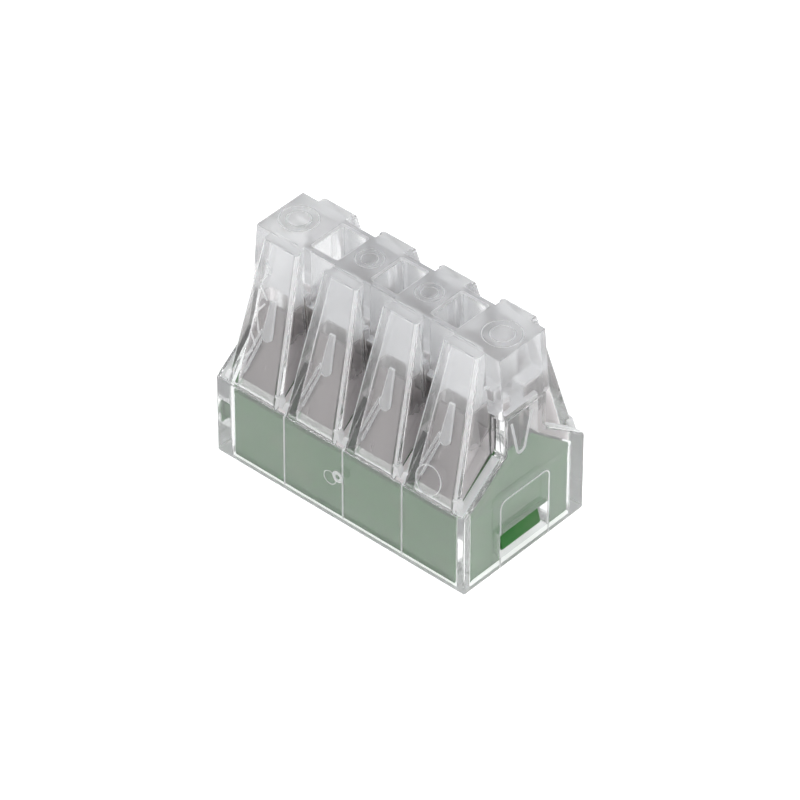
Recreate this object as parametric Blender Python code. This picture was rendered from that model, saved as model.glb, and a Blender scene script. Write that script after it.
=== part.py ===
"""Eight-pole push-wire junction connector.

A clear polycarbonate housing of four by two conductor towers stands over a
green cover that is snapped in from below. Inside, one tinned copper busbar runs
the length of the connector, and a bent spring at each pole presses a clamping
leaf towards it. A stripped solid conductor is pushed in from below, opens the
leaf and is held against the busbar.

Metres, +Z up. The origin is at the centre of the bottom rim, +X runs along the
row of poles, and the front row of poles is at -Y.
"""
import math

import bmesh
import bpy

MM = 0.001

# ---- driving dimensions, in millimetres ------------------------------------
LENGTH = 22.0  # over the two end walls, along X
END_X = LENGTH / 2
SPINE_X = 10.96  # the spine's end blocks, where they stand on the necks
WIDTH = 11.9  # over the two long sides, along Y
HEIGHT = 17.35  # bottom rim to the top of the towers
CREASE_Z = 6.45  # where the upright sides turn into the sloping roof
NECK_Y = 2.0  # half width of the end walls above the gable
NECK_TOP = 12.5
WEB_Y = 2.26  # half width of the spine that joins the towers
WEB_END_TOP = 10.56  # the end blocks lean in towards the top
PITCH = 5.2  # between poles along X
POLES = [(-1.5 + i) * PITCH for i in range(4)]
WELLS = [-PITCH, 0.0, PITCH]  # test slots, one between each two poles

TOWER_FOOT_Y = 5.9  # front face of a tower at its foot
TOWER_TOP_Y = 2.98
TOWER_TOP_Z = 17.15
TOWER_SLOPE = (WIDTH / 2 - TOWER_TOP_Y) / (TOWER_TOP_Z - CREASE_Z)
TOWER_HALF_TOP = 1.5
TOWER_HALF_FOOT = 2.25

POCKET_IN_Y = 0.64
POCKET_TOP = 13.2  # over the spring; a shallow shaft goes on up to SHAFT_TOP
SHAFT_TOP = 16.4
SHAFT_DEPTH = 0.8
POCKET_SLOPE = TOWER_SLOPE - 0.025
POCKET_FRONT = 0.85  # tower wall, measured level along Y
RIB = 0.6  # partition between poles

WELL_X = 1.08
WELL_Y = 1.45
WELL_FLOOR = 12.9

COVER_X = 9.8
COVER_Y = 4.95
COVER_BOTTOM = 0.05
COVER_TOP = 5.5
ENTRY_Y = 2.75  # conductor entries, either side of the middle
ENTRY_MOUTH_R = 1.9
ENTRY_HOLE_R = 1.15

STRIP = 0.25  # spring strip thickness
BEND_R = 0.36  # to the middle of the strip
BEND_Z = 6.1
LEG_TOP = 12.6
HINGE_Y = 4.09  # axis that a clamping leaf turns about
HINGE_Z = 6.33
TIP_Y = 1.53
TIP_Z = 10.4
LEAF_HALF = 1.1

BUSBAR_Y = 1.3
BUSBAR_WALL = 0.4
BUSBAR_LOW = 6.4
BUSBAR_TOP = 11.9
BUSBAR_X = 9.0


# ---- a clean scene ---------------------------------------------------------
for old in list(bpy.data.objects):
    bpy.data.objects.remove(old, do_unlink=True)

PART = bpy.data.collections.new("push_wire_connector")
CUTTERS = bpy.data.collections.new("cutters")
bpy.context.scene.collection.children.link(PART)
bpy.context.scene.collection.children.link(CUTTERS)


def material(name, colour, roughness, metallic=0.0, alpha=1.0):
    mat = bpy.data.materials.new(name)
    mat.use_nodes = True
    node = mat.node_tree.nodes["Principled BSDF"]
    node.inputs["Base Color"].default_value = (*colour, 1.0)
    node.inputs["Roughness"].default_value = roughness
    node.inputs["Metallic"].default_value = metallic
    node.inputs["Alpha"].default_value = alpha
    return mat


CLEAR = material("clear_polycarbonate", (0.84, 0.86, 0.88), 0.08, 0.0, 0.35)
GREEN = material("green_polyamide", (0.045, 0.24, 0.055), 0.35)
STEEL = material("spring_steel", (0.50, 0.48, 0.47), 0.32, 1.0)
TINNED = material("tinned_copper", (0.66, 0.64, 0.61), 0.38, 1.0)


def put(ob, collection):
    collection.objects.link(ob)
    if collection is CUTTERS:
        ob.hide_render = True
        ob.display_type = "WIRE"
    return ob


def settle(mesh):
    """Closes a mesh's seams and turns its faces outwards."""
    bm = bmesh.new()
    bm.from_mesh(mesh)
    bmesh.ops.remove_doubles(bm, verts=bm.verts, dist=1e-7)
    bmesh.ops.recalc_face_normals(bm, faces=bm.faces)
    bm.to_mesh(mesh)
    bm.free()
    mesh.update()


def prism(name, outline, low, high, plane, collection, mat=None, half=None):
    """A flat outline in the YZ, XZ or XY plane, drawn out from low to high along
    the axis left over. half(z) gives a YZ prism a half length that changes with
    height, about the middle of low and high, so that its ends lean."""
    curve = bpy.data.curves.new(name + "_outline", "CURVE")
    curve.dimensions = "2D"
    curve.fill_mode = "BOTH"
    curve.extrude = (high - low) / 2 * MM
    spline = curve.splines.new("POLY")
    spline.points.add(len(outline) - 1)
    for point, (u, v) in zip(spline.points, outline):
        point.co = (u * MM, v * MM, 0.0, 1.0)
    spline.use_cyclic_u = True
    drawn = bpy.data.objects.new(name + "_curve", curve)
    bpy.context.scene.collection.objects.link(drawn)
    depsgraph = bpy.context.evaluated_depsgraph_get()
    mesh = bpy.data.meshes.new_from_object(drawn.evaluated_get(depsgraph))
    bpy.data.objects.remove(drawn, do_unlink=True)
    bpy.data.curves.remove(curve)
    middle = (high + low) / 2 * MM
    for vertex in mesh.vertices:
        u, v, w = vertex.co
        if plane == "YZ":
            if half is not None:
                w = math.copysign(half(v / MM) * MM, w)
            vertex.co = (w + middle, u, v)
        elif plane == "XZ":
            vertex.co = (u, w + middle, v)
        else:
            vertex.co = (u, v, w + middle)
    settle(mesh)
    mesh.name = name
    ob = bpy.data.objects.new(name, mesh)
    if mat is not None:
        mesh.materials.clear()
        mesh.materials.append(mat)
    return put(ob, collection)


def box(name, low, high, collection, mat=None):
    mesh = bpy.data.meshes.new(name)
    bm = bmesh.new()
    bmesh.ops.create_cube(bm, size=1.0)
    for vertex in bm.verts:
        vertex.co = [
            (low[i] + high[i]) / 2 * MM + vertex.co[i] * (high[i] - low[i]) * MM
            for i in range(3)
        ]
    bm.to_mesh(mesh)
    bm.free()
    if mat is not None:
        mesh.materials.append(mat)
    return put(bpy.data.objects.new(name, mesh), collection)


def cone(name, x, y, z_low, z_high, r_low, r_high, segments=20):
    mesh = bpy.data.meshes.new(name)
    bm = bmesh.new()
    bmesh.ops.create_cone(
        bm,
        cap_ends=True,
        segments=segments,
        radius1=r_low * MM,
        radius2=r_high * MM,
        depth=(z_high - z_low) * MM,
    )
    for vertex in bm.verts:
        vertex.co.x += x * MM
        vertex.co.y += y * MM
        vertex.co.z += (z_low + z_high) / 2 * MM
    bm.to_mesh(mesh)
    bm.free()
    return put(bpy.data.objects.new(name, mesh), CUTTERS)


def boolean(ob, other, operation):
    modifier = ob.modifiers.new(other.name, "BOOLEAN")
    modifier.operation = operation
    modifier.solver = "EXACT"
    modifier.object = other


def arc(cx, cy, r, start, end, steps):
    return [
        (
            cx + r * math.cos(math.radians(start + (end - start) * i / steps)),
            cy + r * math.sin(math.radians(start + (end - start) * i / steps)),
        )
        for i in range(steps + 1)
    ]


def side(outline, row):
    """An outline drawn for the back row, turned round for the front row."""
    return [(y * row, z) for y, z in outline]


# ---- housing ---------------------------------------------------------------
gable = [
    (-WIDTH / 2, 0),
    (WIDTH / 2, 0),
    (WIDTH / 2, CREASE_Z),
    (NECK_Y, 9.45),
    (NECK_Y, NECK_TOP),
    (-NECK_Y, NECK_TOP),
    (-NECK_Y, 9.45),
    (-WIDTH / 2, CREASE_Z),
]
housing = prism("housing", gable, -END_X, END_X, "YZ", PART, CLEAR)

spine = [
    (-10, 8.6),
    (10, 8.6),
    (10, NECK_TOP - 0.15),
    (SPINE_X, NECK_TOP - 0.05),
    (SPINE_X, NECK_TOP + 0.1),
    (WEB_END_TOP, HEIGHT),
    (-WEB_END_TOP, HEIGHT),
    (-SPINE_X, NECK_TOP + 0.1),
    (-SPINE_X, NECK_TOP - 0.05),
    (-10, NECK_TOP - 0.15),
]
boolean(
    housing, prism("spine_add", spine, -WEB_Y, WEB_Y, "XZ", CUTTERS), "UNION"
)


def tower_half(z):
    return TOWER_HALF_TOP + (TOWER_TOP_Z - z) * (
        TOWER_HALF_FOOT - TOWER_HALF_TOP
    ) / (TOWER_TOP_Z - CREASE_Z)


def pocket_front(z):
    """The inner face of a tower's sloping wall, which thins towards the top."""
    return WIDTH / 2 - POCKET_FRONT - (z - CREASE_Z) * POCKET_SLOPE


def pocket_half(z):
    return tower_half(z) - 0.52 - (TOWER_TOP_Z - z) * 0.005


ROWS = (("front", -1), ("rear", 1))

tower = [
    (1.6, 5.8),
    (TOWER_FOOT_Y, 5.8),
    (TOWER_FOOT_Y, CREASE_Z + (WIDTH / 2 - TOWER_FOOT_Y) / TOWER_SLOPE),
    (TOWER_TOP_Y, TOWER_TOP_Z),
    (WEB_Y, 17.3),
    (1.6, 17.25),
]
for row_name, row in ROWS:
    for i, x in enumerate(POLES):
        add = prism(
            f"tower_{row_name}_{i + 1}_add",
            side(tower, row),
            x - 1,
            x + 1,
            "YZ",
            CUTTERS,
            half=tower_half,
        )
        boolean(housing, add, "UNION")

boolean(
    housing,
    box("base_cut", (-10, -5.0, -1), (10, 5.0, 6.05), CUTTERS),
    "DIFFERENCE",
)
roof_space = [
    (-4.95, 5.9),
    (4.95, 5.9),
    (4.95, 6.18),
    (1.6, 9.04),
    (1.6, 12.3),
    (-1.6, 12.3),
    (-1.6, 9.04),
    (-4.95, 6.18),
]
for i, x in enumerate(POLES):
    low = x - PITCH / 2 + RIB / 2 if i > 0 else -9.98
    high = x + PITCH / 2 - RIB / 2 if i < 3 else 9.98
    boolean(
        housing,
        prism(f"roof_space_{i + 1}_cut", roof_space, low, high, "YZ", CUTTERS),
        "DIFFERENCE",
    )
boolean(
    housing,
    box("busbar_space_cut", (-9.4, -1.55, 5.95), (9.4, 1.55, 12.25), CUTTERS),
    "DIFFERENCE",
)
pocket = [
    (POCKET_IN_Y, 5.98),
    (5.0, 5.98),
    (5.0, CREASE_Z + (WIDTH / 2 - POCKET_FRONT - 5.0) / POCKET_SLOPE),
    (pocket_front(SHAFT_TOP), SHAFT_TOP),
    (pocket_front(SHAFT_TOP) - SHAFT_DEPTH, SHAFT_TOP),
    (pocket_front(POCKET_TOP) - SHAFT_DEPTH, POCKET_TOP),
    (POCKET_IN_Y, POCKET_TOP),
]
for row_name, row in ROWS:
    for i, x in enumerate(POLES):
        cut = prism(
            f"pocket_{row_name}_{i + 1}_cut",
            side(pocket, row),
            x - 1,
            x + 1,
            "YZ",
            CUTTERS,
            half=pocket_half,
        )
        boolean(housing, cut, "DIFFERENCE")
for i, x in enumerate(WELLS):
    boolean(
        housing,
        box(
            f"test_slot_{i + 1}_cut",
            (x - WELL_X, -WELL_Y, WELL_FLOOR),
            (x + WELL_X, WELL_Y, 19),
            CUTTERS,
        ),
        "DIFFERENCE",
    )
    boolean(
        housing,
        box(
            f"probe_hole_{i + 1}_cut",
            (x - 0.6, -0.6, 12),
            (x + 0.6, 0.6, 13.2),
            CUTTERS,
        ),
        "DIFFERENCE",
    )
for i, (x, r) in enumerate(((-8.85, 1.4), (-2.6, 1.0), (2.6, 1.0), (8.85, 1.4))):
    boolean(
        housing,
        cone(f"round_mark_{i + 1}_cut", x, 0, HEIGHT - 0.15, 18, r, r, 24),
        "DIFFERENCE",
    )
tongue = (
    [(-2.5, -1), (2.5, -1)]
    + arc(2.1, 5.0, 0.4, 0, 90, 4)
    + arc(-2.1, 5.0, 0.4, 90, 180, 4)
)
for end_name, sign in (("left", -1), ("right", 1)):
    lows = sorted((sign * 9.5, sign * 12))
    boolean(
        housing,
        box(
            f"latch_window_{end_name}_cut",
            (lows[0], -2.35, 0.9),
            (lows[1], 2.35, 2.95),
            CUTTERS,
        ),
        "DIFFERENCE",
    )
    lows = sorted((sign * 10.88, sign * 12))
    boolean(
        housing,
        prism(f"tongue_{end_name}_cut", tongue, lows[0], lows[1], "YZ", CUTTERS),
        "DIFFERENCE",
    )

# ---- cover -----------------------------------------------------------------
cover = box(
    "entry_cover",
    (-COVER_X, -COVER_Y, COVER_BOTTOM),
    (COVER_X, COVER_Y, COVER_TOP),
    PART,
    GREEN,
)
cover_gable = (
    [
        (-4.85, 5.2),
        (4.85, 5.2),
        (4.85, 6.03),
        (1.22, 9.1),
        (0.46, 9.1),
    ]
    + arc(0.0, 8.73, 0.3, 0, -180, 6)
    + [(-0.46, 9.1), (-1.22, 9.1), (-4.85, 6.03)]
)
nub = [(9.5, 1.15), (10.7, 1.15), (10.78, 1.35), (10.45, 2.45), (9.5, 2.5)]
for end_name, sign in (("left", -1), ("right", 1)):
    lows = sorted((sign * 9.35, sign * 9.88))
    boolean(
        cover,
        prism(
            f"cover_gable_{end_name}_add",
            cover_gable,
            lows[0],
            lows[1],
            "YZ",
            CUTTERS,
        ),
        "UNION",
    )
    boolean(
        cover,
        prism(
            f"latch_{end_name}_add",
            [(sign * x, z) for x, z in nub],
            -1.9,
            1.9,
            "XZ",
            CUTTERS,
        ),
        "UNION",
    )
for row_name, row in ROWS:
    for i, x in enumerate(POLES):
        boolean(
            cover,
            cone(
                f"entry_{row_name}_{i + 1}_mouth_cut",
                x,
                row * ENTRY_Y,
                COVER_BOTTOM - 0.15,
                3.2,
                ENTRY_MOUTH_R + 0.04,
                ENTRY_HOLE_R,
            ),
            "DIFFERENCE",
        )
        boolean(
            cover,
            cone(
                f"entry_{row_name}_{i + 1}_hole_cut",
                x,
                row * ENTRY_Y,
                3.1,
                7.0,
                ENTRY_HOLE_R,
                ENTRY_HOLE_R,
            ),
            "DIFFERENCE",
        )

# ---- busbar ----------------------------------------------------------------
channel = [
    (-BUSBAR_Y, BUSBAR_LOW),
    (-BUSBAR_Y + BUSBAR_WALL, BUSBAR_LOW),
    (-BUSBAR_Y + BUSBAR_WALL, BUSBAR_TOP - BUSBAR_WALL),
    (BUSBAR_Y - BUSBAR_WALL, BUSBAR_TOP - BUSBAR_WALL),
    (BUSBAR_Y - BUSBAR_WALL, BUSBAR_LOW),
    (BUSBAR_Y, BUSBAR_LOW),
    (BUSBAR_Y, BUSBAR_TOP),
    (-BUSBAR_Y, BUSBAR_TOP),
]
prism("busbar", channel, -BUSBAR_X, BUSBAR_X, "YZ", PART, TINNED)

# ---- springs and their clamping leaves --------------------------------------
LEG_OFFSET = 0.38  # middle of the leg behind the tower's inner face, along Y
half = STRIP / 2
run = math.hypot(1, POCKET_SLOPE)
normal = (1 / run, POCKET_SLOPE / run)


def leg_middle(z):
    return pocket_front(z) - LEG_OFFSET


bend_y = leg_middle(BEND_Z) - BEND_R
lean = math.degrees(math.atan(POCKET_SLOPE))
spring = (
    [(leg_middle(LEG_TOP) + half * normal[0], LEG_TOP + half * normal[1])]
    + arc(bend_y, BEND_Z, BEND_R + half, lean, -180, 10)
    + arc(bend_y, BEND_Z, BEND_R - half, -180, lean, 8)
    + [(leg_middle(LEG_TOP) - half * normal[0], LEG_TOP - half * normal[1])]
)


def leg_half(z):
    return 1.14 + (LEG_TOP - z) * 0.36 / (LEG_TOP - 6.1)


along = (TIP_Y - HINGE_Y, TIP_Z - HINGE_Z)
reach = math.hypot(*along)
tilt = math.degrees(math.atan2(along[1], along[0]))
leaf_local = (
    [(reach, half * 0.4), (reach - 0.12, half)]
    + arc(0, 0, half, 90, 270, 6)
    + [(reach, -half)]
)
c, s = math.cos(math.radians(tilt)), math.sin(math.radians(tilt))
leaf_outline = [(u * c - v * s, u * s + v * c) for u, v in leaf_local]

for row_name, row in ROWS:
    for i, x in enumerate(POLES):
        prism(
            f"clamp_spring_{row_name}_{i + 1}",
            side(spring, row),
            x - 1,
            x + 1,
            "YZ",
            PART,
            STEEL,
            half=leg_half,
        )
        leaf = prism(
            f"clamp_leaf_{row_name}_{i + 1}",
            side(leaf_outline, row),
            -LEAF_HALF,
            LEAF_HALF,
            "YZ",
            PART,
            STEEL,
        )
        leaf.location = (x * MM, row * HINGE_Y * MM, HINGE_Z * MM)
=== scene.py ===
"""Looks for the eight-pole push-wire connector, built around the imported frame."""

import math

import bmesh
import bpy
from mathutils import Matrix, Vector


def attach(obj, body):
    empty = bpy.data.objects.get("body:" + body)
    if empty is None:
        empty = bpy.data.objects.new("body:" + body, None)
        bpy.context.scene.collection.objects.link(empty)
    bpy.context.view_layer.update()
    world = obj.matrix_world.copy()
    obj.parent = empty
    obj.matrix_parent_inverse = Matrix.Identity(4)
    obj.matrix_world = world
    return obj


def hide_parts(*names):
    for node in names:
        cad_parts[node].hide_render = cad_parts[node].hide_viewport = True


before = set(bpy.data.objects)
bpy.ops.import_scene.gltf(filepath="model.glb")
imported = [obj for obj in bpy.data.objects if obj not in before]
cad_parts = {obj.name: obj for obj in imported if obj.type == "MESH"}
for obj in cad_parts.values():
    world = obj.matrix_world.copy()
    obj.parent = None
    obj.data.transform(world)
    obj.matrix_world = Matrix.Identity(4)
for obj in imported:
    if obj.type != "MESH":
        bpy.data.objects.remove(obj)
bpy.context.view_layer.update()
MM = 0.001

# ---- sizes of the frame, in millimetres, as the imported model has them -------
END_X = 11.0
SPINE_X = 10.96
WIDTH = 11.9
HEIGHT = 17.35
CREASE_Z = 6.45
NECK_Y = 2.0
NECK_TOP = 12.5
WEB_Y = 2.26
WEB_END_TOP = 10.56
PITCH = 5.2
POLES = [(-1.5 + i) * PITCH for i in range(4)]
WELLS = [-PITCH, 0.0, PITCH]
TOWER_FOOT_Y = 5.9
TOWER_TOP_Y = 2.98
TOWER_TOP_Z = 17.15
TOWER_SLOPE = (WIDTH / 2 - TOWER_TOP_Y) / (TOWER_TOP_Z - CREASE_Z)
TOWER_HALF_TOP = 1.5
TOWER_HALF_FOOT = 2.25
POCKET_IN_Y = 0.64
POCKET_TOP = 13.2
SHAFT_TOP = 16.9
SHAFT_DEPTH = 0.8
POCKET_SLOPE = TOWER_SLOPE - 0.025
POCKET_FRONT = 0.85
RIB = 0.6
STRIP = 0.25
BEND_R = 0.36
BEND_Z = 6.1
LEG_TOP = 12.6
HINGE_Y = 4.09
HINGE_Z = 6.33
TIP_Y = 1.53
TIP_Z = 10.4
LEAF_HALF = 1.1
ROWS = (("front", -1), ("rear", 1))

scene = bpy.context.scene
shop = bpy.data.collections.new("shop")  # operands, emptied as they are used
scene.collection.children.link(shop)


# ---- camera -----------------------------------------------------------------
def place_camera():
    azimuth, elevation, roll = map(math.radians, (41.766, 40.047, 0.12))
    back = Vector(
        (
            math.sin(azimuth) * math.cos(elevation),
            -math.cos(azimuth) * math.cos(elevation),
            math.sin(elevation),
        )
    )
    right = Vector((math.cos(azimuth), math.sin(azimuth), 0))
    up = back.cross(right)
    right, up = (
        right * math.cos(roll) + up * math.sin(roll),
        up * math.cos(roll) - right * math.sin(roll),
    )
    aim = Vector((0, 0, 8.0)) - up * 0.911 + right * 0.037
    spot = (aim + back * 419.3) * MM
    camera = bpy.data.cameras.new("camera")
    camera.sensor_width = 36.0
    camera.lens = 6383.2 / 800 * 36.0
    camera.clip_start = 0.01
    camera.clip_end = 50
    ob = bpy.data.objects.new("camera", camera)
    matrix = Matrix((right, up, back)).transposed().to_4x4()
    matrix.translation = spot
    ob.matrix_world = matrix
    scene.collection.objects.link(ob)
    scene.camera = ob


place_camera()


# ---- node material helpers ----------------------------------------------------
class Nodes:
    """A short way to write a material's node tree."""

    def __init__(self, name):
        self.mat = bpy.data.materials.new(name)
        self.mat.use_nodes = True
        self.tree = self.mat.node_tree
        self.tree.nodes.clear()
        self.out = self.tree.nodes.new("ShaderNodeOutputMaterial")

    def add(self, kind, **values):
        node = self.tree.nodes.new(kind)
        for key, value in values.items():
            if hasattr(node, key):
                setattr(node, key, value)
        return node

    def set(self, node, **values):
        for key, value in values.items():
            socket = node.inputs[key.replace("_", " ")]
            if isinstance(value, bpy.types.NodeSocket):
                self.tree.links.new(value, socket)
            else:
                socket.default_value = value
        return node

    def link(self, a, b):
        self.tree.links.new(a, b)

    def coords(self, scale=(1, 1, 1)):
        texture = self.add("ShaderNodeTexCoord")
        mapping = self.add("ShaderNodeMapping")
        mapping.inputs["Scale"].default_value = scale
        self.link(texture.outputs["Object"], mapping.inputs["Vector"])
        return mapping.outputs["Vector"]

    def noise(self, vector, scale, detail=3.0, roughness=0.5, distortion=0.0):
        node = self.add("ShaderNodeTexNoise")
        self.set(
            node,
            Vector=vector,
            Scale=scale,
            Detail=detail,
            Roughness=roughness,
            Distortion=distortion,
        )
        return node.outputs["Fac"]

    def spread(self, value, low, high, to_low, to_high):
        node = self.add("ShaderNodeMapRange")
        node.inputs["From Min"].default_value = low
        node.inputs["From Max"].default_value = high
        node.inputs["To Min"].default_value = to_low
        node.inputs["To Max"].default_value = to_high
        self.link(value, node.inputs["Value"])
        return node.outputs["Result"]

    def ramp(self, value, stops):
        node = self.add("ShaderNodeValToRGB")
        elements = node.color_ramp.elements
        while len(elements) < len(stops):
            elements.new(0.5)
        for element, (position, colour) in zip(elements, stops):
            element.position = position
            element.color = (*colour, 1.0)
        self.link(value, node.inputs["Fac"])
        return node.outputs["Color"]

    def mix(self, factor, a, b, kind="MIX"):
        node = self.add("ShaderNodeMix", data_type="RGBA", blend_type=kind)
        for index, value in ((0, factor), (6, a), (7, b)):
            if isinstance(value, bpy.types.NodeSocket):
                self.link(value, node.inputs[index])
            elif index == 0:
                node.inputs[index].default_value = value
            else:
                node.inputs[index].default_value = (*value, 1.0)
        return node.outputs[2]

    def bump(self, height, strength, distance):
        node = self.add("ShaderNodeBump")
        self.set(node, Height=height, Strength=strength, Distance=distance)
        return node.outputs["Normal"]


def clear_plastic():
    """Clear polycarbonate from a fine-eroded mould: faint flow lines, a trace of
    milk in the resin that is strongest in the thick upper part, and a lamp's light
    let straight through."""
    n = Nodes("clear_polycarbonate")
    at = n.coords()
    height = n.add("ShaderNodeSeparateXYZ")
    n.link(at, height.inputs[0])
    upper = n.spread(height.outputs["Z"], 0.0118, 0.0150, 0.0, 1.0)
    flow = n.noise(n.coords((1, 1, 0.18)), 420.0, 2.0, 0.45, 0.6)
    cloud = n.noise(at, 160.0, 3.0, 0.5)
    fine = n.noise(at, 5200.0, 2.0, 0.6)
    body = n.add("ShaderNodeBsdfPrincipled")
    rough = n.add("ShaderNodeMath", operation="ADD")
    n.link(n.spread(fine, 0.3, 0.7, 0.05, 0.09), rough.inputs[0])
    n.link(n.spread(upper, 0.0, 1.0, 0.0, 0.13), rough.inputs[1])
    n.set(
        body,
        Base_Color=n.ramp(cloud, [(0.3, (0.91, 0.912, 0.915)), (0.7, (0.935, 0.936, 0.938))]),
        Roughness=rough.outputs[0],
        IOR=1.585,
        Transmission_Weight=1.0,
        Normal=n.bump(flow, 0.05, 0.0002),
    )
    haze = n.add("ShaderNodeBsdfDiffuse")
    n.set(haze, Color=(0.88, 0.88, 0.885, 1.0))
    glow = n.add("ShaderNodeBsdfTranslucent")
    n.set(glow, Color=(0.88, 0.88, 0.885, 1.0))
    both = n.add("ShaderNodeMixShader")
    both.inputs[0].default_value = 0.5
    n.link(haze.outputs[0], both.inputs[1])
    n.link(glow.outputs[0], both.inputs[2])
    milk = n.add("ShaderNodeMixShader")
    share = n.add("ShaderNodeMath", operation="ADD")
    n.link(n.spread(cloud, 0.3, 0.7, 0.015, 0.045), share.inputs[0])
    n.link(n.spread(upper, 0.0, 1.0, 0.0, 0.18), share.inputs[1])
    facing = n.add("ShaderNodeSeparateXYZ")
    n.link(n.add("ShaderNodeNewGeometry").outputs["Normal"], facing.inputs[0])
    top = n.add("ShaderNodeMath", operation="MULTIPLY")
    n.link(n.spread(facing.outputs["Z"], 0.85, 0.97, 0.0, 0.25), top.inputs[0])
    n.link(n.spread(height.outputs["Z"], 0.0168, 0.0172, 0.0, 1.0), top.inputs[1])
    total = n.add("ShaderNodeMath", operation="ADD")
    n.link(share.outputs[0], total.inputs[0])
    n.link(top.outputs[0], total.inputs[1])
    n.link(total.outputs[0], milk.inputs[0])
    n.link(body.outputs[0], milk.inputs[1])
    n.link(both.outputs[0], milk.inputs[2])
    through = n.add("ShaderNodeBsdfTransparent")
    n.set(through, Color=(0.90, 0.905, 0.915, 1.0))
    path = n.add("ShaderNodeLightPath")
    lamp = n.add("ShaderNodeMixShader")
    n.link(path.outputs["Is Shadow Ray"], lamp.inputs[0])
    n.link(milk.outputs[0], lamp.inputs[1])
    n.link(through.outputs[0], lamp.inputs[2])
    n.link(lamp.outputs[0], n.out.inputs["Surface"])
    return n.mat


def green_plastic():
    """Moulded green polyamide with a satin, slightly mottled skin."""
    n = Nodes("green_polyamide")
    at = n.coords()
    cloud = n.noise(at, 240.0, 4.0, 0.55)
    skin = n.noise(at, 3600.0, 3.0, 0.6)
    warm = n.spread(n.noise(n.coords((1, 1, 1.6)), 330.0, 2.0, 0.5), 0.52, 0.78, 0.0, 0.55)
    body = n.add("ShaderNodeBsdfPrincipled")
    green = n.ramp(
        cloud, [(0.3, (0.006, 0.118, 0.008)), (0.7, (0.011, 0.152, 0.012))]
    )
    n.set(
        body,
        Base_Color=n.mix(warm, green, (0.055, 0.135, 0.03)),
        Roughness=n.spread(skin, 0.3, 0.7, 0.28, 0.42),
        IOR=1.53,
        Specular_IOR_Level=0.3,
        Subsurface_Weight=0.05,
        Subsurface_Radius=(0.2, 1.0, 0.2),
        Subsurface_Scale=0.0004,
        Normal=n.bump(skin, 0.12, 0.00003),
    )
    n.link(body.outputs[0], n.out.inputs["Surface"])
    return n.mat


def strip_steel(name, along):
    """Rolled stainless spring strip: brushed along its length, with a few darker
    rolling streaks."""
    n = Nodes(name)
    grain = n.noise(n.coords(along), 2600.0, 4.0, 0.65)
    streak = n.noise(n.coords(tuple(a * 0.3 for a in along)), 700.0, 2.0, 0.5)
    body = n.add("ShaderNodeBsdfPrincipled")
    n.set(
        body,
        Base_Color=n.mix(
            n.spread(streak, 0.35, 0.7, 0.0, 0.55),
            (0.27, 0.246, 0.245),
            (0.185, 0.168, 0.168),
        ),
        Metallic=1.0,
        Roughness=n.spread(grain, 0.3, 0.7, 0.26, 0.46),
        Normal=n.bump(grain, 0.25, 0.00002),
    )
    n.link(body.outputs[0], n.out.inputs["Surface"])
    return n.mat


def tinned_copper():
    """Dull tin plate, mottled, a little warm where the plating is thin."""
    n = Nodes("tinned_copper")
    at = n.coords()
    mottle = n.noise(at, 900.0, 5.0, 0.6)
    grain = n.noise(n.coords((0.2, 1, 1)), 3000.0, 3.0, 0.6)
    body = n.add("ShaderNodeBsdfPrincipled")
    n.set(
        body,
        Base_Color=n.ramp(
            mottle, [(0.3, (0.30, 0.275, 0.258)), (0.7, (0.42, 0.40, 0.39))]
        ),
        Metallic=1.0,
        Roughness=n.spread(grain, 0.3, 0.7, 0.30, 0.48),
        Normal=n.bump(grain, 0.2, 0.00002),
    )
    n.link(body.outputs[0], n.out.inputs["Surface"])
    return n.mat


def frosted_plastic():
    """The same resin where the mould was eroded: the flanks inside the towers, the
    parting hairlines and the moulded marks scatter the light."""
    n = Nodes("frosted_polycarbonate")
    at = n.coords()
    cloud = n.noise(at, 900.0, 3.0, 0.55)
    body = n.add("ShaderNodeBsdfPrincipled")
    n.set(
        body,
        Base_Color=n.ramp(cloud, [(0.3, (0.92, 0.922, 0.925)), (0.7, (0.975, 0.976, 0.978))]),
        Roughness=n.spread(cloud, 0.3, 0.7, 0.35, 0.5),
        IOR=1.585,
        Transmission_Weight=0.5,
        Normal=n.bump(cloud, 0.1, 0.00004),
    )
    through = n.add("ShaderNodeBsdfTransparent")
    n.set(through, Color=(0.85, 0.855, 0.865, 1.0))
    path = n.add("ShaderNodeLightPath")
    lamp = n.add("ShaderNodeMixShader")
    n.link(path.outputs["Is Shadow Ray"], lamp.inputs[0])
    n.link(body.outputs[0], lamp.inputs[1])
    n.link(through.outputs[0], lamp.inputs[2])
    n.link(lamp.outputs[0], n.out.inputs["Surface"])
    return n.mat


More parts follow.
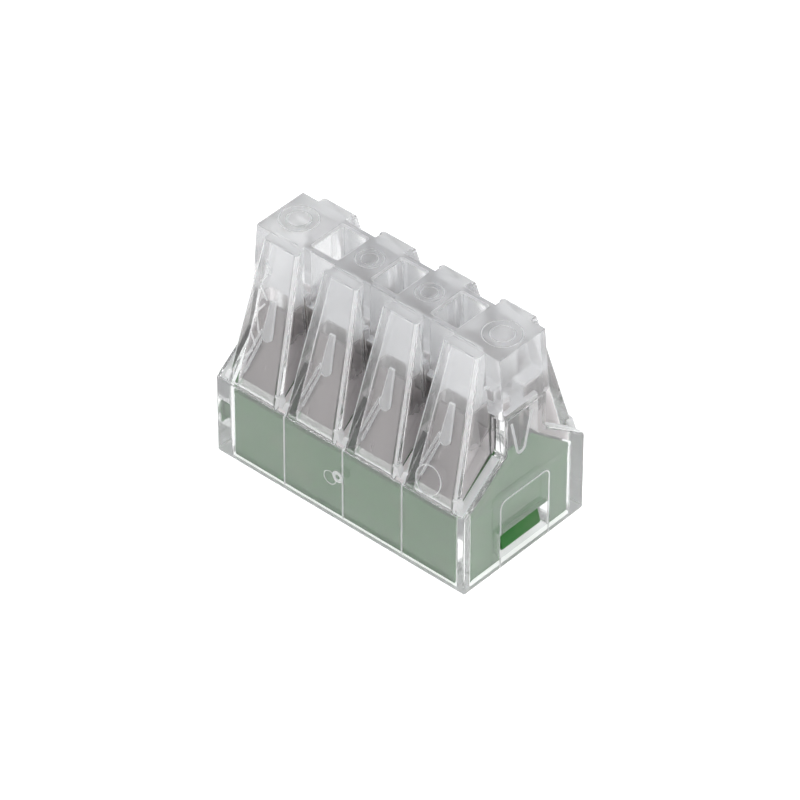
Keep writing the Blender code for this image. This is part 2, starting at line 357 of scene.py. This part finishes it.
def flank_plastic():
    """The flanks inside the towers: eroded beside the spring and round the shaft,
    polished in a belt near the leaf's tip."""
    n = Nodes("flank_polycarbonate")
    at = n.coords()
    height = n.add("ShaderNodeSeparateXYZ")
    n.link(at, height.inputs[0])
    cloud = n.noise(at, 700.0, 3.0, 0.55)
    level = n.add("ShaderNodeMath", operation="ADD")
    n.link(height.outputs["Z"], level.inputs[0])
    n.link(n.spread(cloud, 0.3, 0.7, -0.0006, 0.0006), level.inputs[1])
    low = n.spread(level.outputs[0], 0.0098, 0.0112, 1.0, 0.0)
    high = n.spread(height.outputs["Z"], 0.0128, 0.0134, 0.0, 1.0)
    eroded = n.add("ShaderNodeMath", operation="MAXIMUM")
    n.link(low, eroded.inputs[0])
    n.link(high, eroded.inputs[1])
    body = n.add("ShaderNodeBsdfPrincipled")
    n.set(
        body,
        Base_Color=n.mix(high, (0.93, 0.87, 0.87), (0.91, 0.912, 0.915)),
        Roughness=n.spread(eroded.outputs[0], 0.0, 1.0, 0.12, 0.42),
        IOR=1.585,
        Transmission_Weight=n.spread(eroded.outputs[0], 0.0, 1.0, 0.86, 0.42),
        Normal=n.bump(cloud, 0.1, 0.00004),
    )
    through = n.add("ShaderNodeBsdfTransparent")
    n.set(through, Color=(0.85, 0.855, 0.865, 1.0))
    path = n.add("ShaderNodeLightPath")
    lamp = n.add("ShaderNodeMixShader")
    n.link(path.outputs["Is Shadow Ray"], lamp.inputs[0])
    n.link(body.outputs[0], lamp.inputs[1])
    n.link(through.outputs[0], lamp.inputs[2])
    n.link(lamp.outputs[0], n.out.inputs["Surface"])
    return n.mat


CLEAR = clear_plastic()
FROST = frosted_plastic()
FLANK = flank_plastic()
GREEN = green_plastic()
LEG_STEEL = strip_steel("spring_steel_leg", (1, 0.12, 0.12))
LEAF_STEEL = strip_steel("spring_steel_leaf", (1, 0.1, 0.14))
TIN = tinned_copper()


# ---- mesh helpers -------------------------------------------------------------
def outline_bmesh(outline, low, high, plane, half=None):
    """A flat outline drawn out from low to high. half(z) gives a YZ outline a half
    length that changes with height."""
    bm = bmesh.new()
    middle, reach = (low + high) / 2, (high - low) / 2

    def point(u, v, w):
        if plane == "YZ":
            if half is not None:
                w = math.copysign(half(v), w)
            return Vector((w + middle, u, v)) * MM
        if plane == "XZ":
            return Vector((u, w + middle, v)) * MM
        return Vector((u, v, w + middle)) * MM

    rings = [
        [bm.verts.new(point(u, v, w)) for u, v in outline] for w in (-reach, reach)
    ]
    count = len(outline)
    bm.faces.new(rings[0])
    bm.faces.new(list(reversed(rings[1])))
    for i in range(count):
        j = (i + 1) % count
        bm.faces.new((rings[0][i], rings[1][i], rings[1][j], rings[0][j]))
    bmesh.ops.recalc_face_normals(bm, faces=bm.faces)
    return bm


def sharp_edges(bm, degrees=20, keep=None):
    edges = []
    for edge in bm.edges:
        if len(edge.link_faces) == 2 and edge.calc_face_angle(0) > math.radians(
            degrees
        ):
            if keep is None or keep(edge):
                edges.append(edge)
    return edges


def rounded(bm, width, segments=3, degrees=20, keep=None):
    if width > 0:
        bmesh.ops.bevel(
            bm,
            geom=sharp_edges(bm, degrees, keep),
            offset=width * MM,
            segments=segments,
            profile=0.5,
            affect="EDGES",
            clamp_overlap=True,
        )
    return bm


def object_of(name, bm, collection=None):
    bmesh.ops.recalc_face_normals(bm, faces=bm.faces)
    mesh = bpy.data.meshes.new(name)
    bm.to_mesh(mesh)
    bm.free()
    ob = bpy.data.objects.new(name, mesh)
    (collection or shop).objects.link(ob)
    return ob


def prism(name, outline, low, high, plane, half=None, width=0.0, segments=3, keep=None):
    return object_of(
        name,
        rounded(outline_bmesh(outline, low, high, plane, half), width, segments, keep=keep),
    )


def box(name, low, high, width=0.0, segments=3, keep=None):
    outline = [(low[0], low[2]), (high[0], low[2]), (high[0], high[2]), (low[0], high[2])]
    return prism(name, outline, low[1], high[1], "XZ", None, width, segments, keep)


def round_solid(name, rings, segments=48, at=(0, 0), matrix=None):
    """A turned solid from (radius, height) pairs, closed at both ends."""
    bm = bmesh.new()
    loops = []
    for r, z in rings:
        loops.append(
            [
                bm.verts.new(
                    Vector(
                        (
                            at[0] + r * math.cos(2 * math.pi * k / segments),
                            at[1] + r * math.sin(2 * math.pi * k / segments),
                            z,
                        )
                    )
                    * MM
                )
                for k in range(segments)
            ]
        )
    for a, b in zip(loops, loops[1:]):
        for k in range(segments):
            bm.faces.new((a[k], a[(k + 1) % segments], b[(k + 1) % segments], b[k]))
    bm.faces.new(loops[0])
    bm.faces.new(list(reversed(loops[-1])))
    if matrix is not None:
        bmesh.ops.transform(bm, matrix=matrix, verts=bm.verts)
    return object_of(name, bm)


def lofted(name, lower, upper):
    """A closed solid between two outlines with the same number of points, each
    point given as ((x, y), z)."""
    bm = bmesh.new()
    loops = [
        [bm.verts.new(Vector((u, v, z)) * MM) for (u, v), z in outline]
        for outline in (lower, upper)
    ]
    count = len(lower)
    bm.faces.new(list(reversed(loops[0])))
    bm.faces.new(loops[1])
    for i in range(count):
        j = (i + 1) % count
        bm.faces.new((loops[0][i], loops[0][j], loops[1][j], loops[1][i]))
    return object_of(name, bm)


def combine(base, added, cut):
    """base with the solids of added joined on and those of cut taken away."""
    for operation, group in (("UNION", added), ("DIFFERENCE", cut)):
        if not group:
            continue
        holder = bpy.data.collections.new(f"{base.name}_{operation}")
        scene.collection.children.link(holder)
        for ob in group:
            shop.objects.unlink(ob)
            holder.objects.link(ob)
        modifier = base.modifiers.new(operation, "BOOLEAN")
        modifier.operation = operation
        modifier.solver = "EXACT"
        modifier.operand_type = "COLLECTION"
        modifier.collection = holder
        modifier.material_mode = "TRANSFER"
        bpy.context.view_layer.update()
        depsgraph = bpy.context.evaluated_depsgraph_get()
        mesh = bpy.data.meshes.new_from_object(base.evaluated_get(depsgraph))
        base.modifiers.clear()
        old = base.data
        base.data = mesh
        bpy.data.meshes.remove(old)
        for ob in group:
            bpy.data.objects.remove(ob, do_unlink=True)
        bpy.data.collections.remove(holder)
    return base


def dress(ob, rule=None):
    """Gives a housing solid its surfaces: rule(face) is 0 where it is clear, 1 where
    it is frosted and 2 on a flank."""
    for mat in (CLEAR, FROST, FLANK):
        ob.data.materials.append(mat)
    for face in ob.data.polygons:
        face.material_index = int(rule(face)) if rule else 0
    return ob


def always(face):
    return True


def flank(face):
    return 2


def inner_faces(face):
    """A pocket's flanks, and everything in it above the spring."""
    if abs(face.normal.x) > 0.8:
        return 2
    return face.center.z > POCKET_TOP * MM and abs(face.normal.y) < 0.99


def corner_faces(face):
    """The rounded front corners of a tower."""
    return 0.2 < abs(face.normal.x) < 0.95 and abs(face.normal.z) < 0.6


def low_faces(face):
    """The rim the part stands on."""
    return face.center.z < 0.0002


def ring_solid(name, inner, outer, low, high, matrix, segments=64):
    bm = bmesh.new()
    loops = [
        [
            bm.verts.new(
                Vector(
                    (
                        r * math.cos(2 * math.pi * k / segments),
                        r * math.sin(2 * math.pi * k / segments),
                        z,
                    )
                )
                * MM
            )
            for k in range(segments)
        ]
        for r, z in ((inner, low), (outer, low), (outer, high), (inner, high))
    ]
    for a, b in zip(loops, loops[1:] + loops[:1]):
        for k in range(segments):
            j = (k + 1) % segments
            bm.faces.new((a[k], a[j], b[j], b[k]))
    bmesh.ops.transform(bm, matrix=matrix, verts=bm.verts)
    return object_of(name, bm)


def finish_piece(ob, name, mat, body, slot, *nodes, smooth=None):
    """Puts a finished piece into the scene on its body."""
    shop.objects.unlink(ob)
    scene.collection.objects.link(ob)
    ob.name = name
    ob.data.name = name
    if not any(ob.data.materials):
        ob.data.materials.clear()
        ob.data.materials.append(mat)
    bm = bmesh.new()
    bm.from_mesh(ob.data)
    bmesh.ops.remove_doubles(bm, verts=bm.verts, dist=1e-8)
    bmesh.ops.dissolve_degenerate(bm, dist=1e-8, edges=bm.edges)
    bmesh.ops.recalc_face_normals(bm, faces=bm.faces)
    bm.to_mesh(ob.data)
    bm.free()
    if smooth:
        ob.data.shade_smooth()
        ob.data.set_sharp_from_angle(angle=math.radians(smooth))
    else:
        ob.data.shade_flat()
    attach(ob, body)
    if nodes:
        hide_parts(*nodes)
    return ob


def arc(cx, cy, r, start, end, steps):
    return [
        (
            cx + r * math.cos(math.radians(start + (end - start) * i / steps)),
            cy + r * math.sin(math.radians(start + (end - start) * i / steps)),
        )
        for i in range(steps + 1)
    ]


def side(outline, row):
    return [(y * row, z) for y, z in outline]


# ---- housing ------------------------------------------------------------------
def tower_half(z):
    return TOWER_HALF_TOP + (TOWER_TOP_Z - z) * (
        TOWER_HALF_FOOT - TOWER_HALF_TOP
    ) / (TOWER_TOP_Z - CREASE_Z)


def pocket_front(z):
    return WIDTH / 2 - POCKET_FRONT - (z - CREASE_Z) * POCKET_SLOPE


def pocket_half(z):
    return tower_half(z) - 0.52 - (TOWER_TOP_Z - z) * 0.005


def face_frame(x, z, row, y, slope):
    """Turns a flat shape's own axes into those of a sloping face: X stays X, Y runs
    up the slope and Z points out of it."""
    run = math.hypot(1, slope)
    up = Vector((0, -slope * row / run, 1 / run))
    out = Vector((0, row / run, slope / run))
    across = up.cross(out)
    matrix = Matrix((across, up, out)).transposed().to_4x4()
    matrix.translation = Vector((x, y * row, z)) * MM
    return matrix


def tower_face(x, z, row):
    """The frame of a point on a tower's sloping front face."""
    y = WIDTH / 2 - (z - CREASE_Z) * TOWER_SLOPE
    return face_frame(x, z, row, y, TOWER_SLOPE)


def upright_front(edge, row):
    """The two edges that run up the front corners of a tower."""
    low, high = sorted(v.co.z for v in edge.verts)
    return high - low > 0.005 and min(v.co.y * row for v in edge.verts) > 0.0025


def inner_face(x, z, row):
    """The same as tower_face for the inner face of a tower's sloping wall."""
    return face_frame(x, z, row, pocket_front(z), POCKET_SLOPE)


def plate_raw(name, outline, low, high, matrix):
    bm = outline_bmesh(outline, low, high, "XY")
    bmesh.ops.transform(bm, matrix=matrix, verts=bm.verts)
    return object_of(name, bm)


def plate(name, outline, low, high, matrix):
    ob = plate_raw(name, outline, low, high, matrix)
    out = matrix.to_3x3() @ Vector((0, 0, 1))
    return dress(ob, lambda f: f.normal.dot(out) < 0.5)


def bar(x0, y0, x1, y1, width):
    """The outline of a straight stroke."""
    along = Vector((x1 - x0, y1 - y0)).normalized() * (width / 2)
    nx, ny = -along.y, along.x
    return [(x0 + nx, y0 + ny), (x0 - nx, y0 - ny), (x1 - nx, y1 - ny), (x1 + nx, y1 + ny)]


def build_housing():
    gable = [
        (-WIDTH / 2, 0),
        (WIDTH / 2, 0),
        (WIDTH / 2, CREASE_Z),
        (NECK_Y, 9.45),
        (NECK_Y, NECK_TOP),
        (-NECK_Y, NECK_TOP),
        (-NECK_Y, 9.45),
        (-WIDTH / 2, CREASE_Z),
    ]
    base = prism("housing", gable, -END_X, END_X, "YZ", width=0.16)
    spine = [
        (-10, 8.6),
        (10, 8.6),
        (10, NECK_TOP - 0.15),
        (SPINE_X, NECK_TOP - 0.05),
        (SPINE_X, NECK_TOP + 0.1),
        (WEB_END_TOP, HEIGHT),
        (-WEB_END_TOP, HEIGHT),
        (-SPINE_X, NECK_TOP + 0.1),
        (-SPINE_X, NECK_TOP - 0.05),
        (-10, NECK_TOP - 0.15),
    ]
    added = [prism("spine", spine, -WEB_Y, WEB_Y, "XZ", width=0.07)]
    tower = [
        (1.6, 5.8),
        (TOWER_FOOT_Y, 5.8),
        (TOWER_FOOT_Y, CREASE_Z + (WIDTH / 2 - TOWER_FOOT_Y) / TOWER_SLOPE),
        (TOWER_TOP_Y - 0.1 * TOWER_SLOPE, TOWER_TOP_Z + 0.1),
        (WEB_Y, 17.3),
        (1.6, 17.28),
    ]
    for row_name, row in ROWS:
        for i, x in enumerate(POLES):
            bm = outline_bmesh(side(tower, row), x - 1, x + 1, "YZ", tower_half)
            rounded(bm, 0.6 if row < 0 else 0.75, 8, keep=lambda e: upright_front(e, row))
            rounded(bm, 0.08 if row < 0 else 0.25, 3, keep=lambda e: min(v.co.z for v in e.verts) > 0.0165)
            added.append(dress(object_of(f"tower_{row_name}_{i}", bm), corner_faces))
    cut = [box("base", (-10, -5.0, -1), (10, 5.0, 6.05), 0.15)]
    roof_space = [
        (-4.95, 5.9),
        (4.95, 5.9),
        (4.95, 6.18),
        (1.6, 9.04),
        (1.6, 12.3),
        (-1.6, 12.3),
        (-1.6, 9.04),
        (-4.95, 6.18),
    ]
    for i, x in enumerate(POLES):
        low = x - PITCH / 2 + RIB / 2 if i > 0 else -9.98
        high = x + PITCH / 2 - RIB / 2 if i < 3 else 9.98
        cut.append(prism(f"roof_{i}", roof_space, low, high, "YZ"))
    cut.append(box("busbar_space", (-9.4, -1.55, 5.95), (9.4, 1.55, 12.25)))
    pocket = [
        (POCKET_IN_Y, 5.98),
        (5.0, 5.98),
        (5.0, CREASE_Z + (WIDTH / 2 - POCKET_FRONT - 5.0) / POCKET_SLOPE),
        (pocket_front(SHAFT_TOP), SHAFT_TOP),
        (pocket_front(SHAFT_TOP) - SHAFT_DEPTH, SHAFT_TOP),
        (pocket_front(POCKET_TOP) - SHAFT_DEPTH, POCKET_TOP),
        (POCKET_IN_Y, POCKET_TOP),
    ]
    for row_name, row in ROWS:
        for i, x in enumerate(POLES):
            hollow = prism(
                f"pocket_{row_name}_{i}", side(pocket, row), x - 1, x + 1, "YZ",
                half=pocket_half, width=0.12,
            )
            cut.append(dress(hollow, inner_faces))
    gap = [(2.6, 9.3), (1.97, 9.3), (1.97, 17.26), (1.88, 17.36), (1.88, 18), (2.6, 18)]
    for row_name, row in ROWS:
        for i, x in enumerate(WELLS):
            cut.append(
                prism(f"gap_{row_name}_{i}", side(gap, row), x - 1.38, x + 1.38, "YZ")
            )
    for i, x in enumerate(WELLS):
        mouth = (
            arc(x + 0.88, 1.25, 0.2, 0, 90, 6)
            + arc(x - 0.88, 1.25, 0.2, 90, 180, 6)
            + arc(x - 0.88, -1.25, 0.2, 180, 270, 6)
            + arc(x + 0.88, -1.25, 0.2, 270, 360, 6)
        )
        cut.append(prism(f"well_{i}", mouth, 12.9, 19, "XY"))
        cut.append(
            dress(
                lofted(
                    f"lip_{i}",
                    [((u, v), HEIGHT - 0.14) for u, v in mouth],
                    [
                        ((x + (u - x) * 1.15, v * 1.11), HEIGHT + 0.01)
                        for u, v in mouth
                    ],
                ),
                lambda f: abs(f.normal.z) < 0.9,
            )
        )
        cut.append(box(f"probe_{i}", (x - 0.6, -0.6, 12), (x + 0.6, 0.6, 13.2)))
    for i, (x, r) in enumerate(((-8.85, 1.4), (-2.6, 1.0), (2.6, 1.0), (8.85, 1.4))):
        spot = Matrix.Translation(Vector((x, 0, HEIGHT)) * MM)
        for k, share in enumerate((1.0, 0.62)):
            ring = ring_solid(
                f"mark_{i}_{k}", r * share - 0.08, r * share, -0.05, 0.3, spot
            )
            cut.append(dress(ring, always))
    tongue = (
        [(-2.34, -1), (-2.46, -1)]
        + arc(-1.86, 5.16, 0.6, 180, 90, 10)
        + arc(1.86, 5.16, 0.6, 90, 0, 10)
        + [(2.46, -1), (2.34, -1)]
        + arc(1.86, 5.16, 0.48, 0, 90, 10)
        + arc(-1.86, 5.16, 0.48, 90, 180, 10)
    )
    for end, sign in (("left", -1), ("right", 1)):
        lows = sorted((sign * 9.5, sign * 12))
        cut.append(box(f"window_{end}", (lows[0], -2.35, 0.9), (lows[1], 2.35, 2.95), 0.08, 2))
        lows = sorted((sign * 10.92, sign * 12))
        cut.append(
            dress(prism(f"tongue_{end}", tongue, lows[0], lows[1], "YZ"), always)
        )
    # hairlines inside the upright sides, where the mould's inserts meet
    for row_name, row in ROWS:
        for i, x in enumerate(WELLS):
            ys = sorted((row * 4.9, row * 5.12))
            cut.append(
                dress(
                    box(f"hair_{row_name}_{i}", (x - 0.06, ys[0], 0.1), (x + 0.06, ys[1], 6.0)),
                    always,
                )
            )
    # the gate's pit with its torn stub, the ring beside it, and an ejector's ring
    front = Matrix.Rotation(math.radians(90), 4, "X")
    pit = Matrix.Translation(Vector((-0.12, -WIDTH / 2, 3.85)) * MM) @ front
    beside = Matrix.Translation(Vector((-0.8, -WIDTH / 2, 3.45)) * MM) @ front
    ejector = tower_face(7.5, 7.75, -1)
    for ob in (
        ring_solid("pit", 0.2, 0.46, -0.12, 0.3, pit),
        ring_solid("beside", 0.5, 0.55, -0.03, 0.3, beside),
        ring_solid("ejector", 1.0, 1.1, -0.06, 0.3, ejector),
    ):
        cut.append(dress(ob, always))
    dress(base, low_faces)
    for ob in added + cut:
        if not ob.data.materials:
            dress(ob)
    combine(base, added, cut)

    caps = []
    for i, x in enumerate(POLES):
        for k, (y, z, low, high) in enumerate(
            ((-2.95, TOWER_TOP_Z + 0.1, -1.25, 0.45), (-2.1, 17.35, -1.2, 0.75))
        ):
            caps.append(
                prism(
                    f"cap_{i}_{k}",
                    [(y - 0.05, z + 0.1), (y, z - 0.12), (y + 0.05, z + 0.1)],
                    x + low, x + high, "YZ",
                )
            )
    for ob in caps:
        dress(ob)
    combine(base, [], caps)

    # the guide behind each sloping wall: a long drop with two struts to the foot
    drop = [(-0.2, 3.1)] + arc(0, 0.42, 0.42, 180, 360, 20) + [(0.2, 3.1)]
    ribs = []
    for row_name, row in ROWS:
        for i, x in enumerate(POLES):
            at = inner_face(x, 10.1, row)
            ribs.append(plate(f"drop_{row_name}_{i}", drop, -0.21, 0.2, at))
            for k, line in enumerate(((-0.32, 0.3, -1.3, -2.9), (-0.5, 0.7, -1.5, -2.3))):
                ribs.append(
                    plate(f"strut_{row_name}_{i}_{k}", bar(*line, 0.14), -0.18, 0.2, at)
                )
            strip = [(5.86, 6.4), (5.86, 6.54), (2.3, 9.26), (2.3, 9.1)]
            spans = [(x + 2.28, x + 2.92, flank)]
            if i == 0:
                spans.append((x - 2.9, x - 2.28, always))
            if i == 3:
                spans[0] = (x + 2.28, x + 2.9, always)
            for k, (low, high, rule) in enumerate(spans):
                ribs.append(
                    dress(
                        prism(
                            f"strip_{row_name}_{i}_{k}",
                            side(strip, row), low, high, "YZ",
                        ),
                        rule,
                    )
                )
            for k in (-1, 1):
                foot = [(k * 1.95, 7.5), (k * 2.3, 7.4), (k * 2.75, 6.3), (k * 1.85, 6.3)]
                low, high = sorted((row * 5.2, row * 5.72))
                ribs.append(
                    dress(
                        prism(
                            f"foot_{row_name}_{i}_{k}",
                            [(x + u, v) for u, v in foot], low, high, "XZ",
                        ),
                        always,
                    )
                )
    strokes = (
        (-0.9, 16.0, -0.3, 15.3), (-0.55, 15.2, -0.95, 14.5), (-0.95, 14.2, -0.2, 13.4),
        (-0.3, 13.1, -0.85, 12.3), (-0.75, 11.9, -0.35, 10.9), (-1.0, 10.7, -0.45, 9.9),
        (-0.6, 9.5, -1.1, 8.8),
    )
    for k, (u0, z0, u1, z1) in enumerate(strokes):
        line = bar(u0, z0 - 12.0, u1, z1 - 12.0, 0.13)
        ribs.append(
            dress(
                plate_raw(f"stroke_{k}", line, -0.1, 0.05, tower_face(POLES[0], 12.0, -1)),
                always,
            )
        )
    pin = Matrix.Translation(Vector((9.54, -WEB_Y, 14.62)) * MM) @ front
    pits = [dress(round_solid("pin", [(0.12, -0.25), (0.17, 0.2)], 32, matrix=pin), always)]
    for end, sign in (("left", -1), ("right", 1)):
        lows = sorted((sign * 9.9, sign * 10.05))
        outer = [(-1.08, 11.3)] + arc(0, 8.8, 0.5, 180, 360, 16) + [(1.08, 11.3)]
        inner = [(0.88, 11.3)] + arc(0, 8.82, 0.3, 360, 180, 12) + [(-0.88, 11.3)]
        ribs.append(
            dress(prism(f"vee_{end}", outer + inner, lows[0], lows[1], "YZ"), always)
        )
    combine(base, ribs, pits)
    return finish_piece(base, "housing_clear", CLEAR, "root", "clear_housing", "housing")


housing = build_housing()


# ---- cover ----------------------------------------------------------------------
def build_cover():
    base = box("cover", (-9.8, -4.95, 0.05), (9.8, 4.95, 5.5), 0.12)
    gable = (
        [(-4.85, 5.2), (4.85, 5.2), (4.85, 6.03), (1.22, 9.1), (0.46, 9.1)]
        + arc(0.0, 8.73, 0.3, 0, -180, 16)
        + [(-0.46, 9.1), (-1.22, 9.1), (-4.85, 6.03)]
    )
    nub = [(9.5, 1.15), (10.7, 1.15), (10.78, 1.35), (10.45, 2.45), (9.5, 2.5)]
    added, cut = [], []
    for end, sign in (("left", -1), ("right", 1)):
        lows = sorted((sign * 9.62, sign * 9.88))
        added.append(prism(f"gable_{end}", gable, lows[0], lows[1], "YZ", width=0.05, segments=2))
        added.append(
            prism(f"nub_{end}", [(sign * x, z) for x, z in nub], -1.9, 1.9, "XZ", width=0.06, segments=2)
        )
    for row_name, row in ROWS:
        for i, x in enumerate(POLES):
            cut.append(
                round_solid(
                    f"entry_{row_name}_{i}",
                    [(2.02, -0.15), (1.94, 0.05), (1.72, 0.45), (1.15, 3.2), (1.15, 7.0)],
                    64,
                    at=(x, row * 2.75),
                )
            )
    combine(base, added, cut)
    return finish_piece(
        base, "cover_green", GREEN, "root", "green_cover", "entry_cover", smooth=25
    )


cover = build_cover()


# ---- busbar ---------------------------------------------------------------------
def build_busbar():
    outer, wall, low, top, bend = 1.3, 0.4, 6.4, 11.9, 0.45
    outline = (
        [(-outer, low), (-outer + wall, low)]
        + [(-outer + wall, top - wall - 0.12)]
        + arc(-outer + wall + 0.12, top - wall - 0.12, 0.12, 180, 90, 4)[1:]
        + arc(outer - wall - 0.12, top - wall - 0.12, 0.12, 90, 0, 4)
        + [(outer - wall, low), (outer, low)]
        + arc(outer - bend, top - bend, bend, 0, 90, 8)
        + arc(-outer + bend, top - bend, bend, 90, 180, 8)
    )
    ob = prism("busbar", outline, -9.0, 9.0, "YZ", width=0.04, segments=2)
    return finish_piece(ob, "busbar_tinned", TIN, "root", "tinned_copper", "busbar", smooth=30)


busbar = build_busbar()


# ---- springs --------------------------------------------------------------------
def leg_middle(z):
    return pocket_front(z) - 0.38


def leg_half(z):
    return 1.14 + (LEG_TOP - z) * 0.36 / (LEG_TOP - 6.1)


def build_springs():
    half = STRIP / 2
    run = math.hypot(1, POCKET_SLOPE)
    normal = (1 / run, POCKET_SLOPE / run)
    bend_y = leg_middle(BEND_Z) - BEND_R
    lean = math.degrees(math.atan(POCKET_SLOPE))
    spring = (
        [(leg_middle(LEG_TOP) + half * normal[0], LEG_TOP + half * normal[1])]
        + arc(bend_y, BEND_Z, BEND_R + half, lean, -180, 24)
        + arc(bend_y, BEND_Z, BEND_R - half, -180, lean, 18)
        + [(leg_middle(LEG_TOP) - half * normal[0], LEG_TOP - half * normal[1])]
    )
    along = (TIP_Y - HINGE_Y, TIP_Z - HINGE_Z)
    reach = math.hypot(*along)
    tilt = math.degrees(math.atan2(along[1], along[0]))
    local = (
        [(reach, half * 0.4), (reach - 0.12, half)]
        + arc(0, 0, half, 90, 270, 12)
        + [(reach, -half)]
    )
    c, s = math.cos(math.radians(tilt)), math.sin(math.radians(tilt))
    leaf = [(HINGE_Y + u * c - v * s, HINGE_Z + u * s + v * c) for u, v in local]
    for row_name, row in ROWS:
        for i, x in enumerate(POLES):
            leg = prism(
                f"leg_{row_name}_{i}", side(spring, row), x - 1, x + 1, "YZ",
                half=leg_half, width=0.035, segments=2,
            )
            finish_piece(
                leg,
                f"spring_{row_name}_{i + 1}",
                LEG_STEEL,
                "root",
                "spring_steel",
                f"clamp_spring_{row_name}_{i + 1}",
                smooth=30,
            )
            blade = prism(
                f"blade_{row_name}_{i}", side(leaf, row), x - LEAF_HALF, x + LEAF_HALF,
                "YZ", width=0.035, segments=2,
            )
            finish_piece(
                blade,
                f"leaf_{row_name}_{i + 1}",
                LEAF_STEEL,
                f"leaf_{row_name}_{i + 1}",
                "spring_steel",
                f"clamp_leaf_{row_name}_{i + 1}",
                smooth=30,
            )


build_springs()


# ---- floor, light and world -------------------------------------------------------
def build_stage():
    bm = bmesh.new()
    bmesh.ops.create_grid(bm, x_segments=2, y_segments=2, size=0.6)
    floor = object_of("floor", bm)
    # the paper runs on behind it and turns up at its edge
    bm = bmesh.new()
    count = 96
    rings = [
        [
            bm.verts.new(
                (
                    radius * math.cos(2 * math.pi * k / count),
                    radius * math.sin(2 * math.pi * k / count),
                    height,
                )
            )
            for k in range(count)
        ]
        for radius, height in ((0.55, -0.0001), (1.9, 0.0), (2.0, 0.03), (2.02, 0.2))
    ]
    for a, b in zip(rings, rings[1:]):
        for k in range(count):
            j = (k + 1) % count
            bm.faces.new((a[k], b[k], b[j], a[j]))
    backdrop = object_of("backdrop", bm)
    for ob, name in ((floor, "floor_white"), (backdrop, "backdrop_white")):
        shop.objects.unlink(ob)
        scene.collection.objects.link(ob)
        ob.location.z = -0.00002
        n = Nodes(name)
        paper = n.add("ShaderNodeBsdfDiffuse")
        n.set(paper, Color=(0.9, 0.9, 0.9, 1.0))
        glow = n.add("ShaderNodeEmission")
        n.set(glow, Color=(1.0, 1.0, 1.0, 1.0), Strength=0.80 if ob is floor else 1.05)
        both = n.add("ShaderNodeAddShader")
        n.link(paper.outputs[0], both.inputs[0])
        n.link(glow.outputs[0], both.inputs[1])
        n.link(both.outputs[0], n.out.inputs["Surface"])
        if ob is backdrop:
            n.mat.cycles.emission_sampling = "NONE"
        ob.data.materials.append(n.mat)

    world = bpy.data.worlds.new("studio")
    scene.world = world
    world.use_nodes = True
    tree = world.node_tree
    tree.nodes["Background"].inputs["Color"].default_value = (0.62, 0.63, 0.65, 1.0)
    tree.nodes["Background"].inputs["Strength"].default_value = 0.45

    def panel(name, spot, aim, size, power):
        light = bpy.data.lights.new(name, "AREA")
        light.shape = "RECTANGLE"
        light.size, light.size_y = size
        light.energy = power
        ob = bpy.data.objects.new(name, light)
        ob.location = spot
        direction = Vector(aim) - Vector(spot)
        ob.rotation_euler = direction.to_track_quat("-Z", "Y").to_euler()
        scene.collection.objects.link(ob)

    panel("top_panel", (0.0, 0.02, 0.45), (0, 0, 0), (0.5, 0.4), 0.76)
    panel("left_panel", (-0.35, -0.3, 0.22), (0, 0, 0.008), (0.3, 0.3), 0.22)
    panel("right_panel", (0.42, -0.1, 0.2), (0, 0, 0.008), (0.25, 0.3), 0.31)
    scene.view_settings.view_transform = "Standard"
    scene.cycles.max_bounces = 24
    scene.cycles.transmission_bounces = 24
    scene.cycles.glossy_bounces = 8
    scene.cycles.transparent_max_bounces = 24


build_stage()
bpy.data.collections.remove(shop)
